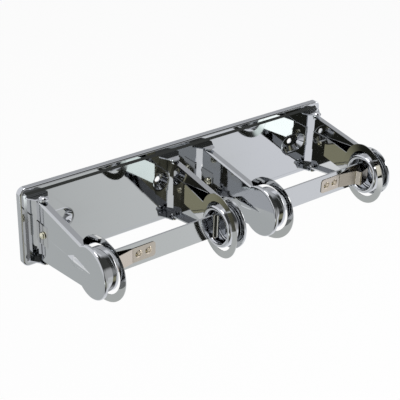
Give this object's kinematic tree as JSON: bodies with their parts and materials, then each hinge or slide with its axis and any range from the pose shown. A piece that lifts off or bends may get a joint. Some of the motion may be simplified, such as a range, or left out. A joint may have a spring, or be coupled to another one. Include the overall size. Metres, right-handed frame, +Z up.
{
  "type": "double toilet roll holder",
  "caption": "Wall-mounted double toilet roll holder in chrome-plated pressed steel with swing-out arms, sprung brake rings and latched spindle bars.",
  "frame": {"origin": "middle of the two outer wall screw holes, on the wall plane at the plate's mid-height", "axes": "+X to the right when facing the holder, +Y into the wall, +Z up"},
  "size_m": [0.3144, 0.1138, 0.0698],
  "materials": {
    "chrome_plate": "bright chrome on pressed steel",
    "chrome_arm": "bright chrome on pressed steel",
    "chrome_cup": "bright chrome on a drawn cup",
    "chrome_bar": "bright chrome on flat steel",
    "chrome_pin": "bright chrome",
    "spring_chrome": "plated spring strip",
    "spring_nickel": "warm satin nickel on spring strip",
    "nickel_rivet": "warm nickel on a set rivet"
  },
  "bodies": {
    "wall_frame": {"back_plate": "chrome_plate", "left_outer_ears": "chrome_plate", "left_outer_hinge_pin": "chrome_pin", "left_inner_ears": "chrome_plate", "left_inner_hinge_pin": "chrome_pin", "right_inner_ears": "chrome_plate", "right_inner_hinge_pin": "chrome_pin", "right_outer_ears": "chrome_plate", "right_outer_hinge_pin": "chrome_pin", "left_inner_arm": "chrome_arm", "left_inner_brake_clip": "spring_chrome", "left_inner_brake_rivet": "nickel_rivet", "left_inner_cup": "chrome_cup", "right_inner_arm": "chrome_arm", "right_inner_brake_clip": "spring_chrome", "right_inner_brake_rivet": "nickel_rivet", "right_inner_cup": "chrome_cup", "left_spindle_bar": "chrome_bar", "left_foot_rivet": "nickel_rivet", "left_latch_base": "spring_nickel", "left_latch_rivets": "nickel_rivet", "right_spindle_bar": "chrome_bar", "right_foot_rivet": "nickel_rivet", "right_latch_base": "spring_nickel", "right_latch_rivets": "nickel_rivet"},
    "left_outer_swing": {"left_outer_arm": "chrome_arm", "left_outer_brake_clip": "spring_chrome", "left_outer_brake_rivet": "nickel_rivet", "left_outer_cup": "chrome_cup"},
    "right_outer_swing": {"right_outer_arm": "chrome_arm", "right_outer_brake_clip": "spring_chrome", "right_outer_brake_rivet": "nickel_rivet", "right_outer_cup": "chrome_cup"},
    "left_outer_brake": {"left_outer_brake_ring": "spring_chrome"},
    "left_inner_brake": {"left_inner_brake_ring": "spring_chrome"},
    "right_inner_brake": {"right_inner_brake_ring": "spring_chrome"},
    "right_outer_brake": {"right_outer_brake_ring": "spring_chrome"},
    "left_latch": {"left_latch_tongue": "spring_nickel"},
    "right_latch": {"right_latch_tongue": "spring_nickel"}
  },
  "joints": [
    {"name": "left_outer_arm_swing", "type": "hinge", "parent": "wall_frame", "child": "left_outer_swing", "pos_m": [-0.1429, -0.0158, 0], "axis": [0, 0, -1], "range_deg": [0, 90]},
    {"name": "right_outer_arm_swing", "type": "hinge", "parent": "wall_frame", "child": "right_outer_swing", "pos_m": [0.1429, -0.0158, 0], "axis": [0, 0, 1], "range_deg": [0, 90]},
    {"name": "left_outer_brake_flex", "type": "hinge", "parent": "left_outer_swing", "child": "left_outer_brake", "pos_m": [-0.145, -0.0289, 0], "axis": [0, 0, -1], "range_deg": [0, 3], "stiffness_Nm_per_rad": 0.6},
    {"name": "left_inner_brake_flex", "type": "hinge", "parent": "wall_frame", "child": "left_inner_brake", "pos_m": [-0.0164, -0.0289, 0], "axis": [0, 0, 1], "range_deg": [0, 3], "stiffness_Nm_per_rad": 0.6},
    {"name": "right_inner_brake_flex", "type": "hinge", "parent": "wall_frame", "child": "right_inner_brake", "pos_m": [0.0164, -0.0289, 0], "axis": [0, 0, -1], "range_deg": [0, 3], "stiffness_Nm_per_rad": 0.6},
    {"name": "right_outer_brake_flex", "type": "hinge", "parent": "right_outer_swing", "child": "right_outer_brake", "pos_m": [0.145, -0.0289, 0], "axis": [0, 0, 1], "range_deg": [0, 3], "stiffness_Nm_per_rad": 0.6},
    {"name": "left_latch_press", "type": "hinge", "parent": "wall_frame", "child": "left_latch", "pos_m": [-0.10785, -0.08605, 0], "axis": [0, 0, -1], "range_deg": [0, 9], "stiffness_Nm_per_rad": 0.3},
    {"name": "right_latch_press", "type": "hinge", "parent": "wall_frame", "child": "right_latch", "pos_m": [0.10785, -0.08605, 0], "axis": [0, 0, 1], "range_deg": [0, 9], "stiffness_Nm_per_rad": 0.3}
  ]
}
